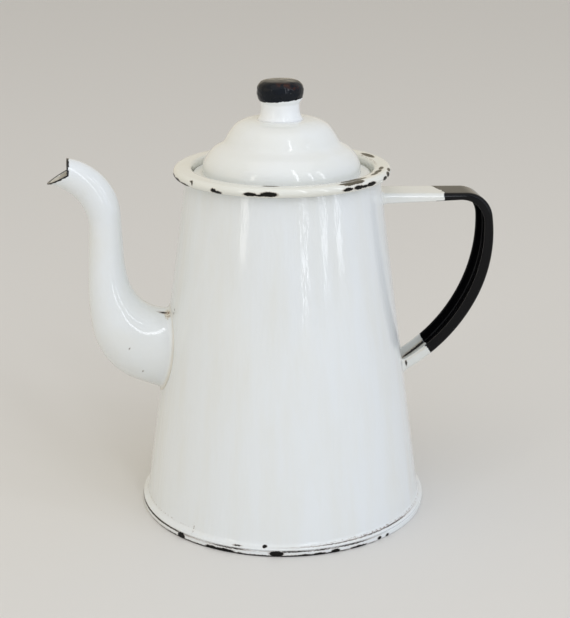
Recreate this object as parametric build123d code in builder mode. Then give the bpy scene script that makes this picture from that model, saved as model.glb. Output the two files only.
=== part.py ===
"""Enamelled steel coffee pot.

A tapered body stands on a seamed bottom pan. A gooseneck spout joins it low on one side,
a pressed channel handle sits opposite, and a two-tier lid drops into a recessed mouth ring.

The pot's axis is Z and it stands on Z = 0. The spout points along -X, the handle along +X.
All sizes are in millimetres.
"""
import os
from math import cos, radians, sin, tan

from build123d import *

# Sheet steel with its enamel on both faces, and the tightest bend pressed into it.
# Radii of bends and pressed outlines are given to the middle of the sheet.
sheet = 1.2
half_sheet = sheet / 2
bend_radius = 1.2

# Tapered body wall: a straight cone that flares into a flat foot flange
wall_foot_radius = 72.2
wall_foot_height = 6.4
wall_top_radius = 48.5
wall_top_height = 178.2
flange_radius = 74.8
flange_underside = 3.0
flange_inner_radius = 69.5

# Bottom pan that the pot stands on
pan_radius = 75.0
pan_rounding = 0.5

# Mouth ring: neck collar, seat for the lid, recess wall, ledge and rolled bead
collar_radius = 41.0
collar_bottom = 167.0
seat_top = 174.0
recess_radius = 45.5
bead_centre_radius = 52.0
bead_centre_height = 177.8
bead_wire_radius = 1.15
bead_inner_radius = 1.2
ledge_slope = 5.0
bead_roll = 245.0

# Spout: its lower and upper outlines in the plane of symmetry. Each has a start and a heading
# in degrees, a straight out of the body, two bends upwards given as radius and turn, a straight
# riser and the bend of the neck back outwards.
lower_outline = ((-52.0, 60.1), 159.0, 25.1, [(35.7, 61.4), (137.0, 10.6)], 26.5, (22.8, 111.5))
upper_outline = ((-50.0, 106.8), 182.8, 8.0, [(20.2, 76.3), (58.0, 14.1)], 22.3, (30.4, 109.0))
# Distance along the lower outline, distance along the upper one, and half width of the oval
# section between those two points
spout_sections = [
    (0.0, 0.0, 17.6),
    (18.0, 9.0, 17.5),
    (31.0, 15.0, 17.3),
    (42.0, 21.0, 16.6),
    (52.0, 27.5, 15.2),
    (63.4, 35.0, 12.9),
    (76.0, 42.0, 11.2),
    (88.8, 49.0, 10.1),
    (102.0, 60.0, 9.0),
    (115.3, 71.4, 8.2),
    (122.0, 80.0, 8.2),
    (128.5, 88.5, 8.1),
    (135.0, 97.0, 7.9),
    (141.5, 105.5, 7.6),
    (148.0, 114.0, 7.3),
    (154.0, 122.0, 7.0),
    (159.5, 129.0, 6.8),
]
mouth_cut_x = -107.1
mouth_notch_height = 178.9
mouth_tip = (-117.2, 173.4)
mouth_cut_top = 200.0
mouth_cut_foot = 160.0
mouth_cut_end = -140.0
mouth_cut_half_width = 30.0

# Strainer: a centre hole and rings of holes, as ring radius and count, through the wall
# behind the spout
strainer_height = 84.0
strainer_depth = 20.0
strainer_hole_radius = 2.1
strainer_rings = [(6.5, 6), (12.5, 12)]

# Handle: pressed channel strap, seen from the side as an outer and an inner outline.
# Each outline is a straight arm and then arcs, given as radius and turn in degrees.
handle_outer_arm = ((44.0, 165.8), (93.2, 164.7))
handle_outer_arcs = [(14.4, 79.5), (74.5, 34.6), (88.6, 44.3)]
handle_inner_arm = ((44.0, 160.5), (89.7, 161.4))
handle_inner_arcs = [(12.9, 87.2), (77.0, 29.4), (80.5, 41.9)]
handle_edge_rounding = 2.0
handle_hollow_overrun = 4.0
handle_root_x = 60.0
handle_blank_half_width = 20.0
handle_blank_reach = 130.0
finger_gap_centre = (72.0, 0.0, 125.0)
# Half width of the strap and height, seen from the front, at its top, grip and foot
handle_front_points = [(9.7, 170.0), (10.2, 128.0), (7.1, 55.0)]

# Lid: a flat brim, a short wall and two domed tiers with a concave waist between them.
# The outline follows the middle of the sheet from the wall to the crown.
lid_brim_radius = 44.6
lid_wall_radius = 39.0
lid_outline = [(38.9, 180.4), (34.6, 187.4), (28.9, 191.4), (26.2, 195.6), (22.8, 199.8), (17.4, 202.3)]
lid_crown_radius = 13.0
lid_crown_top = 203.2
dome_steps = 9
vent_radius = 1.5

# Skirt under the lid that drops into the collar
skirt_radius = 40.4
skirt_bottom = 163.6

# Knob: a hollow pressing with a straight neck and a rounded drum, whose outline follows the
# middle of the sheet
knob_neck_radius = 9.6
knob_neck_top = 210.6
knob_outline = [(10.1, 213.2), (10.7, 216.2), (9.9, 219.9)]
knob_top_radius = 6.8
knob_top = 222.8


def wall_radius(height):
    """Outer radius of the conical wall at a height."""
    share = (height - wall_foot_height) / (wall_top_height - wall_foot_height)
    return wall_foot_radius + share * (wall_top_radius - wall_foot_radius)


os.makedirs("parts", exist_ok=True)

# The body's outside as a plain solid cone, which the spout and the handle are cut to fit
envelope_top = 200.0
with BuildPart(mode=Mode.PRIVATE) as body_envelope:
    with BuildSketch(Plane.XZ):
        with BuildLine():
            Polyline(
                (0, 0),
                (wall_radius(0), 0),
                (wall_radius(envelope_top), envelope_top),
                (0, envelope_top),
                close=True,
            )
        make_face()
    revolve(axis=Axis.Z)

# Body wall, with the strainer holes behind the spout
with BuildPart() as body_wall:
    with BuildSketch(Plane.XZ):
        with BuildLine():
            outer = Line((wall_top_radius, wall_top_height), (wall_foot_radius, wall_foot_height))
            flare = TangentArc(outer @ 1, (flange_radius, flange_underside + sheet), tangent=outer % 1)
            Polyline(
                flare @ 1,
                (flange_radius, flange_underside),
                (flange_inner_radius, flange_underside),
                (wall_radius(wall_foot_height) - sheet, wall_foot_height),
                (wall_top_radius - sheet, wall_top_height),
                outer @ 0,
            )
        make_face()
    revolve(axis=Axis.Z)
    strainer_x = -wall_radius(strainer_height) - strainer_depth / 2
    strainer_plane = Plane((strainer_x, 0, strainer_height), x_dir=(0, 1, 0), z_dir=(1, 0, 0))
    with BuildSketch(strainer_plane):
        Circle(strainer_hole_radius)
        for ring_radius, count in strainer_rings:
            with PolarLocations(ring_radius, count):
                Circle(strainer_hole_radius)
    extrude(amount=strainer_depth, mode=Mode.SUBTRACT)
body_wall.part.label = "body_wall"
export_step(body_wall.part, "parts/body_wall.step")

# Bottom pan: a flat floor turned down into the ring that the pot stands on
with BuildPart() as bottom_pan:
    with BuildSketch(Plane.XZ):
        with BuildLine():
            Polyline(
                (0, flange_underside),
                (pan_radius, flange_underside),
                (pan_radius, 0),
                (pan_radius - sheet, 0),
                (pan_radius - sheet, flange_underside - sheet),
                (0, flange_underside - sheet),
                close=True,
            )
        make_face()
    revolve(axis=Axis.Z)
    fillet(bottom_pan.edges().group_by(Axis.Z)[-1], radius=pan_rounding)
bottom_pan.part.label = "bottom_pan"
export_step(bottom_pan.part, "parts/bottom_pan.step")

# Mouth ring: one strip of sheet bent up from the collar, out over the seat and round the wire
collar_middle = collar_radius + half_sheet
seat_middle = seat_top - half_sheet
recess_middle = recess_radius + half_sheet
roll_radius = bead_inner_radius + half_sheet
ledge_turn = 90 - ledge_slope
roll_start = (
    bead_centre_radius - roll_radius * sin(radians(ledge_slope)),
    bead_centre_height + roll_radius * cos(radians(ledge_slope)),
)
ledge_start_x = recess_middle + bend_radius * (1 - cos(radians(ledge_turn)))
ledge_start = (
    ledge_start_x,
    roll_start[1] - (roll_start[0] - ledge_start_x) * tan(radians(ledge_slope)),
)
recess_top = ledge_start[1] - bend_radius * sin(radians(ledge_turn))
with BuildPart() as mouth_ring:
    with BuildSketch(Plane.XZ):
        with BuildLine():
            collar = Line((collar_middle, collar_bottom), (collar_middle, seat_middle - bend_radius))
            collar_bend = JernArc(collar @ 1, collar % 1, bend_radius, -90)
            seat = Line(collar_bend @ 1, (recess_middle - bend_radius, seat_middle))
            recess_bend = JernArc(seat @ 1, seat % 1, bend_radius, 90)
            recess = Line(recess_bend @ 1, (recess_middle, recess_top))
            edge = JernArc(recess @ 1, recess % 1, bend_radius, -ledge_turn)
            ledge = Line(edge @ 1, roll_start)
            JernArc(ledge @ 1, ledge % 1, roll_radius, -bead_roll)
        trace(line_width=sheet)
    revolve(axis=Axis.Z)
mouth_ring.part.label = "mouth_ring"
export_step(mouth_ring.part, "parts/mouth_ring.step")

# Wire that stiffens the rolled bead
with BuildPart() as rim_wire:
    with BuildSketch(Plane.XZ):
        with Locations((bead_centre_radius, bead_centre_height)):
            Circle(bead_wire_radius)
    revolve(axis=Axis.Z)
rim_wire.part.label = "rim_wire"
export_step(rim_wire.part, "parts/rim_wire.step")


def spout_outline(start, heading, root_run, bends, riser_run, neck):
    """One outline of the gooseneck: root, bends upwards, riser and neck, all tangent."""
    with BuildLine(Plane.XZ) as outline:
        edge = PolarLine(start, root_run, angle=heading)
        for radius, turn in bends:
            edge = JernArc(edge @ 1, edge % 1, radius, -turn)
        edge = PolarLine(edge @ 1, riser_run, direction=edge % 1)
        JernArc(edge @ 1, edge % 1, *neck)
    return outline.wires()[0]


lower_wire = spout_outline(*lower_outline)
upper_wire = spout_outline(*upper_outline)


def spout_section(lower_distance, upper_distance):
    """Plane between two outline points, with X across the spout, and half the gap between them."""
    low = lower_wire.position_at(lower_distance, position_mode=PositionMode.LENGTH)
    high = upper_wire.position_at(upper_distance, position_mode=PositionMode.LENGTH)
    chord = high - low
    plane = Plane((low + high) / 2, x_dir=(0, 1, 0), z_dir=(chord.Z, 0, -chord.X))
    return plane, chord.length / 2


# One pressed half of the spout: half-oval shells lofted between the outlines, cut away at
# the mouth and trimmed to the wall
with BuildPart() as spout_near_half:
    for lower_distance, upper_distance, half_width in spout_sections:
        plane, half_height = spout_section(lower_distance, upper_distance)
        with BuildSketch(plane):
            with BuildLine():
                outside = EllipticalCenterArc(
                    (0, 0), half_width, half_height, start_angle=90, arc_size=180
                )
                inside = EllipticalCenterArc(
                    (0, 0), half_width - sheet, half_height - sheet, start_angle=90, arc_size=180
                )
                Line(outside @ 0, inside @ 0)
                Line(outside @ 1, inside @ 1)
            make_face()
    loft()
    with BuildSketch(Plane.XZ):
        with BuildLine():
            Polyline(
                (mouth_cut_x, mouth_cut_top),
                (mouth_cut_x, mouth_notch_height),
                mouth_tip,
                (mouth_tip[0], mouth_cut_foot),
                (mouth_cut_end, mouth_cut_foot),
                (mouth_cut_end, mouth_cut_top),
                close=True,
            )
        make_face()
    extrude(amount=mouth_cut_half_width, both=True, mode=Mode.SUBTRACT)
    add(body_envelope.part, mode=Mode.SUBTRACT)
spout_near_half.part.label = "spout_near_half"
export_step(spout_near_half.part, "parts/spout_near_half.step")

# The other half is its mirror image across the plane where the two are joined
with BuildPart() as spout_far_half:
    mirror(spout_near_half.part, about=Plane.XZ)
spout_far_half.part.label = "spout_far_half"
export_step(spout_far_half.part, "parts/spout_far_half.step")


def handle_side(outer_inset, inner_inset):
    """Side outline of the strap, with its outer and inner edges moved towards the finger gap."""
    with BuildSketch(Plane.XZ) as side:
        with BuildLine():
            outer_edge = Line([(x, z - outer_inset) for x, z in handle_outer_arm])
            outer_first = outer_edge @ 0
            for radius, turn in handle_outer_arcs:
                outer_edge = JernArc(outer_edge @ 1, outer_edge % 1, radius - outer_inset, -turn)
            inner_edge = Line([(x, z - inner_inset) for x, z in handle_inner_arm])
            inner_first = inner_edge @ 0
            for radius, turn in handle_inner_arcs:
                inner_edge = JernArc(inner_edge @ 1, inner_edge % 1, radius - inner_inset, -turn)
            Line(outer_first, inner_first)
            Line(outer_edge @ 1, inner_edge @ 1)
        make_face()
    return side.sketch


def handle_front(inset):
    """Front outline of the strap, narrowing towards its foot, with its sides moved inwards."""
    with BuildSketch(Plane.YZ) as front:
        with BuildLine():
            side = ThreePointArc([(y - inset, z) for y, z in handle_front_points])
            other = ThreePointArc([(inset - y, z) for y, z in handle_front_points])
            Line(side @ 0, other @ 0)
            Line(side @ 1, other @ 1)
        make_face()
    return front.sketch


# Channel under the strap, open towards the fingers
with BuildPart() as handle_hollow:
    extrude(
        handle_side(sheet, handle_hollow_overrun), amount=handle_blank_half_width, both=True
    )
    extrude(handle_front(sheet), amount=handle_blank_reach, mode=Mode.INTERSECT)

# Handle strap, pressed from one strip and cut to the body wall at both ends
with BuildPart() as handle_strap:
    extrude(handle_side(0, 0), amount=handle_blank_half_width, both=True)
    extrude(handle_front(0), amount=handle_blank_reach, mode=Mode.INTERSECT)
    outer_faces = [
        face
        for face in handle_strap.faces()
        if face.center().X > handle_root_x
        and abs(face.normal_at().Y) < 0.5
        and (face.center() - Vector(finger_gap_centre)).dot(face.normal_at()) > 0
    ]
    outer_edges = [
        edge
        for face in outer_faces
        for edge in face.edges()
        if (edge @ 0).Y * (edge @ 1).Y > 0
    ]
    fillet(outer_edges, radius=handle_edge_rounding)
    add(handle_hollow.part, mode=Mode.SUBTRACT)
    add(body_envelope.part, mode=Mode.SUBTRACT)
handle_strap.part.label = "handle_strap"
export_step(handle_strap.part, "parts/handle_strap.step")

# Lid skirt: a ring flanged outwards under the brim
skirt_middle = skirt_radius - half_sheet
flange_middle = seat_top + half_sheet
with BuildPart() as lid_skirt:
    with BuildSketch(Plane.XZ):
        with BuildLine():
            skirt_wall = Line((skirt_middle, skirt_bottom), (skirt_middle, flange_middle - bend_radius))
            skirt_bend = JernArc(skirt_wall @ 1, skirt_wall % 1, bend_radius, -90)
            Line(skirt_bend @ 1, (lid_brim_radius, flange_middle))
        trace(line_width=sheet)
    revolve(axis=Axis.Z)
lid_skirt.part.label = "lid_skirt"
export_step(lid_skirt.part, "parts/lid_skirt.step")

# Lid dome, pressed in two tiers, with a vent under the knob
brim_middle = seat_top + sheet + half_sheet
dome_start = (lid_wall_radius, brim_middle + bend_radius)
crown_edge = (lid_crown_radius, lid_crown_top - half_sheet)
dome_middle = Edge.make_spline(
    [Vector(*point) for point in (dome_start, *lid_outline, crown_edge)],
    tangents=[Vector(0, 1), Vector(-1, 0)],
)


def beside_dome(distance):
    """Points along the dome, moved outwards from the middle of its sheet by a distance."""
    points = []
    for step in range(dome_steps + 1):
        place = dome_middle @ (step / dome_steps)
        ahead = dome_middle % (step / dome_steps)
        points.append((place.X + ahead.Y * distance, place.Y - ahead.X * distance))
    return points


with BuildPart() as lid_dome:
    with BuildSketch(Plane.XZ):
        with BuildLine():
            brim = Line((lid_brim_radius, brim_middle), (lid_wall_radius + bend_radius, brim_middle))
            JernArc(brim @ 1, brim % 1, bend_radius, -90)
        trace(line_width=sheet)
        with BuildLine():
            outside = Spline(beside_dome(half_sheet), tangents=[(0, 1), (-1, 0)])
            inside = Spline(beside_dome(-half_sheet), tangents=[(0, 1), (-1, 0)])
            Line(outside @ 0, inside @ 0)
            Line(outside @ 1, inside @ 1)
        make_face()
        with BuildLine():
            Line(crown_edge, (vent_radius, crown_edge[1]))
        trace(line_width=sheet)
    revolve(axis=Axis.Z)
lid_dome.part.label = "lid_dome"
export_step(lid_dome.part, "parts/lid_dome.step")

# Knob, hollow, standing on the crown of the lid
neck_middle = knob_neck_radius - half_sheet
with BuildPart() as lid_knob:
    with BuildSketch(Plane.XZ):
        with BuildLine():
            neck_line = Line((neck_middle, lid_crown_top), (neck_middle, knob_neck_top))
            top_edge = (knob_top_radius, knob_top - half_sheet)
            Spline([neck_line @ 1, *knob_outline, top_edge], tangents=[(0, 1), (-1, 0)])
            Line(top_edge, (0, knob_top - half_sheet))
        trace(line_width=sheet)
    revolve(axis=Axis.Z)
lid_knob.part.label = "lid_knob"
export_step(lid_knob.part, "parts/lid_knob.step")
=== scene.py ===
"""Looks of the enamelled coffee pot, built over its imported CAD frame.

The pieces follow in the order in which the pot is put together: body wall, bottom pan, mouth
ring, rim wire, spout, handle, lid and knob. Then come the floor, the lamps and the camera.
Sizes are in millimetres until a mesh is made, which is in metres in the same frame as the CAD.
"""
import math

import bpy
import numpy as np
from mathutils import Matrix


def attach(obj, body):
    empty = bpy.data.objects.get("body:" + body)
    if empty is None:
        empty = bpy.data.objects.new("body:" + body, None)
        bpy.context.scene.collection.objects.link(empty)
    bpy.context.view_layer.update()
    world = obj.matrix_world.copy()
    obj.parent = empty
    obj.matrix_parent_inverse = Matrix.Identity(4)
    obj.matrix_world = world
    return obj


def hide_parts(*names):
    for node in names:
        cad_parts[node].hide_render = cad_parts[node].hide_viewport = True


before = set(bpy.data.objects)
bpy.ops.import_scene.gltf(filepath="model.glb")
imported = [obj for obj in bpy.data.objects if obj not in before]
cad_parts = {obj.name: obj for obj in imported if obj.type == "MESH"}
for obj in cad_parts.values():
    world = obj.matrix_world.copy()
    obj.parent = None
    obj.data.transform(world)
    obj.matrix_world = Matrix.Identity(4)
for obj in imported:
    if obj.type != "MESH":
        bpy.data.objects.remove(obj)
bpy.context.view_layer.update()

# Body wall
# A sheet steel cone, flared at its foot into a flat flange and pierced behind the spout.
# It was dipped in white vitreous enamel inside and out, and drained while it stood upright.

MM = 0.001
SEAM = 90.0
sheet = 1.2
wall_foot = (72.2, 6.4)
wall_top = (48.5, 178.2)
flange_radius = 74.8
flange_underside = 3.0
flange_inner_radius = 69.5
flange_inner_corner = (69.9, 4.0)
strainer_height = 84.0
strainer_half_width = 15.5
strainer_rings = ((6.5, 6), (12.5, 12))
hole_radius = 2.1


def wall_radius(height):
    """Outer radius of the cone at a height: straight from the foot to the top."""
    share = (height - wall_foot[1]) / (wall_top[1] - wall_foot[1])
    return wall_foot[0] + share * (wall_top[0] - wall_foot[0])


def trail(start, heading, moves, step=0.25):
    """Points along a line drawn by walking: each move has a length and turns evenly by its angle."""
    lengths = np.array([length for length, _ in moves])
    bends = np.radians([turn for _, turn in moves]) / lengths
    counts = np.maximum(2, np.ceil(lengths / step)).astype(int)
    steps = np.repeat(lengths / counts, counts)
    turns = steps * np.repeat(bends, counts)
    angles = math.radians(heading) + np.cumsum(turns) - turns / 2
    moved = np.stack([steps * np.cos(angles), steps * np.sin(angles)], 1)
    return np.vstack([start, np.array(start) + np.cumsum(moved, 0)])


def arc(centre, radius, first, last, count):
    """Points on a circle from one angle to another, in degrees."""
    angles = np.radians(np.linspace(first, last, count))
    return np.stack([centre[0] + radius * np.cos(angles), centre[1] + radius * np.sin(angles)], 1)


def lengths_along(points):
    """Distance walked along a row of points, nought at the first."""
    steps = np.linalg.norm(np.diff(points, axis=0), axis=-1)
    return np.concatenate([[0.0], np.cumsum(steps)])


def lengths_round(profile):
    """Distance walked along a closed profile, back to its first point."""
    return lengths_along(np.vstack([profile, profile[:1]]))


def places(across, along):
    """Unrolled places of a grid: each column's place across beside each row's place along."""
    return np.stack(np.broadcast_arrays(across[:, None], along[None, :]), -1)


def all_round(columns):
    """Even azimuths in degrees, from the seam behind the pot round to it again."""
    return np.linspace(SEAM - 360, SEAM, columns + 1)


def revolved(profile, azimuths, reference, walked):
    """A profile (radius, height) turned about Z to each azimuth, with its unrolled places.

    The last azimuth is the first again. The first unrolled number is the azimuth times the
    millimetres per degree at the reference radius, and the second is the distance walked."""
    angle = np.radians(azimuths[:-1])[:, None]
    radius, height = profile[:, 0], profile[:, 1]
    points = np.stack([radius * np.cos(angle), radius * np.sin(angle), height + 0 * angle], -1)
    return points, places(np.radians(azimuths) * reference, walked)


def corners(grid):
    """The four corners of each square of a grid, in order round the square."""
    return np.stack([grid[:-1, :-1], grid[1:, :-1], grid[1:, 1:], grid[:-1, 1:]], 2)


def surface(name, points, unrolled, body, material, ends="joined", gone=None, extra=None):
    """A piece over a grid of points, (around, along, 3), whose first direction is closed.

    The second direction's ends are joined, or each is a pole, or each is pinched shut, with ends
    then giving the partner of every point of the end row. unrolled holds the place of each grid
    corner on the flattened surface, in millimetres. gone marks squares left out and extra adds
    faces between grid points. Faces are turned outwards by the sign of the volume."""
    around, along = points.shape[:2]
    index = np.arange(around * along).reshape(around, along)
    joined = isinstance(ends, str) and ends == "joined"
    if not joined:
        partner = np.zeros(around, int) if isinstance(ends, str) else ends
        for row in (0, -1):
            index[:, row] = np.minimum(index[:, row], index[partner, row])
    index = np.vstack([index, index[:1]])
    if joined:
        index = np.hstack([index, index[:, :1]])
    quads, flat = corners(index), corners(unrolled)
    keep = np.ones(quads.shape[:2], bool) if gone is None else ~gone
    quads, flat = quads[keep], flat[keep]
    if extra is not None:
        quads = np.vstack([quads, extra])
        flat = np.vstack([flat, np.zeros((len(extra), 4, 2))])
    flat_points = points.reshape(-1, 3)
    a, b, c, d = (flat_points[quads[:, k]] for k in range(4))
    volume = np.sum(np.cross(b - a, c - a) * a) + np.sum(np.cross(c - a, d - a) * a)
    if volume < 0:
        quads, flat = quads[:, ::-1], flat[:, ::-1]
    used, compact = np.unique(quads, return_inverse=True)
    compact = compact.reshape(quads.shape)
    single = compact != np.roll(compact, 1, axis=1)
    counts = single.sum(1)
    mesh = bpy.data.meshes.new(name)
    mesh.vertices.add(len(used))
    mesh.vertices.foreach_set("co", (flat_points[used] * MM).ravel())
    mesh.loops.add(int(counts.sum()))
    mesh.loops.foreach_set("vertex_index", compact[single])
    mesh.polygons.add(len(counts))
    mesh.polygons.foreach_set("loop_start", np.cumsum(counts) - counts)
    mesh.polygons.foreach_set("use_smooth", np.ones(len(counts), bool))
    mesh.update(calc_edges=True)
    mesh.uv_layers.new(name="unrolled").data.foreach_set("uv", flat[single].ravel())
    mesh.validate()
    mesh.materials.append(material)
    piece = bpy.data.objects.new(name, mesh)
    bpy.context.scene.collection.objects.link(piece)
    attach(piece, body)
    return piece


def linear(code):
    """A hex sRGB colour as linear RGBA."""
    channels = np.array([int(code[i : i + 2], 16) for i in (1, 3, 5)]) / 255
    values = np.where(channels <= 0.04045, channels / 12.92, ((channels + 0.055) / 1.055) ** 2.4)
    return (*values.tolist(), 1.0)


def node(tree, kind, inputs=None, **settings):
    """Adds a shader node: settings go to the node itself, inputs to its sockets.

    An input is a constant, a socket, or another node, which gives its first output in use."""
    made = tree.nodes.new("ShaderNode" + kind)
    for key, value in settings.items():
        setattr(made, key, value)
    for key, value in (inputs or {}).items():
        if isinstance(value, bpy.types.Node):
            value = next(output for output in value.outputs if output.enabled)
        if isinstance(value, bpy.types.NodeSocket):
            tree.links.new(value, made.inputs[key])
        else:
            made.inputs[key].default_value = value
    return made


def new_material(name):
    """A material whose node tree is still empty, and the tree."""
    material = bpy.data.materials.new(name)
    material.use_nodes = True
    material.node_tree.nodes.clear()
    return material, material.node_tree


def marks_distance(tree, place, marks):
    """Distance in millimetres outside the nearest of several ovals on the unrolled surface.

    Each mark is its middle and its two half sizes. The distance is the scaled distance from the
    middle, less one, times the smaller half size."""
    nearest = None
    for middle_u, middle_v, half_u, half_v in marks:
        small = min(half_u, half_v)
        middle, scale = (middle_u, middle_v, 0), (1 / half_u, 1 / half_v, 0)
        offset = node(tree, "VectorMath", {0: place, 1: middle}, operation="SUBTRACT")
        scaled = node(tree, "VectorMath", {0: offset, 1: scale}, operation="MULTIPLY")
        reach = node(tree, "VectorMath", {0: scaled}, operation="LENGTH")
        gap = node(tree, "Math", {0: reach, 1: small, 2: -small}, operation="MULTIPLY_ADD")
        if nearest is not None:
            gap = node(tree, "Math", {0: nearest, 1: gap}, operation="MINIMUM")
        nearest = gap
    return nearest


# White vitreous enamel is a hard glassy coat, a little blue in its white and yellowed by use.
# It waves gently, and holds fine upright lines where it ran down. A pitch is the size of a
# pattern's grain, a depth is how far a bump stands up, and a span is for a Map Range node.
enamel_white = "#E5E9EA"
enamel_yellowed = "#DDDACA"
enamel_roughness = 0.075
enamel_index = 1.52
enamel_mirror = 0.5
wave_pitch = 18.0
wave_depth = 0.04
drain_pitches = (1.5, 1.5, 170.0)
drain_depth = 0.085
tint_pitches = (38.0, 38.0, 38.0)
tint_pitches_drained = (13.0, 13.0, 150.0)
tint_span = {"From Min": 0.4, "From Max": 0.75, "To Max": 0.3}
# Chips bare the black ground coat, with a step down to it and rust at the edge. Their spans are
# distances outside a mark's outline, which is broken by a fine grain.
ground_black = "#100F0D"
rust_brown = "#6E4B2C"
stain_tan = "#CBBC98"
outline_pitch = 1.1
enamel_depth = 0.22
step_span = {"From Min": -0.15, "From Max": 0.12}
chip_and_shade_line_span = {"From Min": 0.07, "From Max": -0.03}
chip_roughness = {"To Min": enamel_roughness, "To Max": 0.38}
chip_mirror = {"To Min": enamel_mirror, "To Max": 0.15}
rust_span = {"From Min": 0.42, "From Max": 0.06, "To Max": 0.5}
rubbed_span = {"From Min": 3.3, "From Max": 2.0}
patch_span = {"From Min": 0.6, "From Max": -0.6, "To Max": 0.5}
stain_and_shade_span = {"From Min": 0.3, "From Max": -0.3}
speckle_pitch = 0.9
speckle_span = {"From Min": 0.5, "From Max": 0.62, "To Max": 0.75}


# Some marks drawn here as chips are painted shadow lines in joints, as under the pan's flange
# Some stains drawn here are partly painted shade in gaps, as between the mouth ring and the lid
def enamel(name, white, yellowed, marks, stains_and_shade=(), filled=(), drained=True, ragged=0.55, rubbed=None):
    """Glossy enamel with gentle waves and drain lines, chipped to black at the marks.

    Chips are ovals whose outlines are broken by noise, rimmed with rust. Stains are ovals too,
    holding brown speckles, and filled ones are soft tan patches. rubbed is the colour of chips
    on the flat side of the unrolled nought, where the ground coat is rubbed thin."""
    material, tree = new_material(name)
    here = node(tree, "TexCoord").outputs["Object"]
    unrolled = node(tree, "UVMap", uv_map="unrolled")
    tint_scale = [1 / (pitch * MM) for pitch in (tint_pitches_drained if drained else tint_pitches)]
    tint_place = node(tree, "Mapping", {"Vector": here, "Scale": tint_scale})
    tint_noise = {"Vector": tint_place, "Scale": 1.0, "Detail": 4.0, "Roughness": 0.6}
    tint = node(tree, "TexNoise", tint_noise)
    yellow = node(tree, "MapRange", {"Value": tint, **tint_span})
    colour = node(tree, "Mix", {0: yellow, 6: linear(white), 7: linear(yellowed)}, data_type="RGBA")
    waves = node(tree, "TexNoise", {"Vector": here, "Scale": 1 / (wave_pitch * MM), "Detail": 1.0})
    normal = node(tree, "Bump", {"Height": waves, "Distance": wave_depth * MM})
    if drained:
        drain_scale = [1 / (pitch * MM) for pitch in drain_pitches]
        drain_place = node(tree, "Mapping", {"Vector": here, "Scale": drain_scale})
        drains = node(tree, "TexNoise", {"Vector": drain_place, "Scale": 1.0, "Detail": 2.0})
        normal = node(tree, "Bump", {"Height": drains, "Distance": drain_depth * MM, "Normal": normal})
    roughness, mirror = enamel_roughness, enamel_mirror
    if marks or stains_and_shade or filled:
        grain = node(tree, "TexNoise", {"Vector": here, "Scale": 1 / (outline_pitch * MM), "Detail": 3.0})
        moves = {0: grain.outputs["Color"], 1: (2 * ragged, 2 * ragged, 0), 2: unrolled}
        moved = node(tree, "VectorMath", moves, operation="MULTIPLY_ADD")
        place = node(tree, "VectorMath", {0: moved, 1: (ragged, ragged, 0)}, operation="SUBTRACT")
    if filled:
        gap = marks_distance(tree, place, filled)
        patch = node(tree, "MapRange", {"Value": gap, **patch_span})
        colour = node(tree, "Mix", {0: patch, 6: colour, 7: linear(stain_tan)}, data_type="RGBA")
    if stains_and_shade:
        gap = marks_distance(tree, place, stains_and_shade)
        inside = node(tree, "MapRange", {"Value": gap, **stain_and_shade_span})
        fine = {"Vector": here, "Scale": 1 / (speckle_pitch * MM), "Detail": 2.0}
        speckles = node(tree, "MapRange", {"Value": node(tree, "TexNoise", fine), **speckle_span})
        amount = node(tree, "Math", {0: inside, 1: speckles}, operation="MULTIPLY")
        colour = node(tree, "Mix", {0: amount, 6: colour, 7: linear(rust_brown)}, data_type="RGBA")
    if marks:
        gap = marks_distance(tree, place, marks)
        rust = node(tree, "MapRange", {"Value": gap, **rust_span})
        chip = node(tree, "MapRange", {"Value": gap, **chip_and_shade_line_span})
        step = node(tree, "MapRange", {"Value": gap, **step_span})
        ground = linear(ground_black)
        if rubbed:
            walk = node(tree, "SeparateXYZ", {0: unrolled}).outputs["Y"]
            side = node(tree, "MapRange", {"Value": walk, **rubbed_span})
            ground = node(tree, "Mix", {0: side, 6: ground, 7: linear(rubbed)}, data_type="RGBA")
        colour = node(tree, "Mix", {0: rust, 6: colour, 7: linear(rust_brown)}, data_type="RGBA")
        colour = node(tree, "Mix", {0: chip, 6: colour, 7: ground}, data_type="RGBA")
        roughness = node(tree, "MapRange", {"Value": chip, **chip_roughness})
        mirror = node(tree, "MapRange", {"Value": chip, **chip_mirror})
        normal = node(tree, "Bump", {"Height": step, "Distance": enamel_depth * MM, "Normal": normal})
    coat = {"Base Color": colour, "Roughness": roughness, "IOR": enamel_index, "Normal": normal}
    shader = node(tree, "BsdfPrincipled", {**coat, "Specular IOR Level": mirror})
    node(tree, "OutputMaterial", {"Surface": shader})
    return material


def by_azimuth(reference, marks):
    """Marks whose first number is an azimuth in degrees, unrolled at a reference radius."""
    per_degree = math.radians(1) * reference
    return [(azimuth * per_degree, *sizes) for azimuth, *sizes in marks]


# The flare turns the wall out into the flange with one bend
wall_heading = math.degrees(math.atan2(wall_foot[1] - wall_top[1], wall_foot[0] - wall_top[0]))
flare_chord = (flange_radius - wall_foot[0], flange_underside + sheet - wall_foot[1])
flare_turn = 2 * (math.degrees(math.atan2(flare_chord[1], flare_chord[0])) - wall_heading)
half_bend = math.radians(flare_turn / 2)
flare_length = math.hypot(*flare_chord) * half_bend / math.sin(half_bend)
flare = trail(wall_foot, wall_heading, [(flare_length, flare_turn)])[::-1]
edge_middle = (flange_radius - sheet / 2, flange_underside + sheet / 2)
flare = flare[flare[:, 0] < edge_middle[0]]
flange_edge = arc(edge_middle, sheet / 2, -90, 80, 7)
top_edge = arc((wall_top[0] - sheet / 2, wall_top[1]), sheet / 2, 20, 160, 5)
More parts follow.
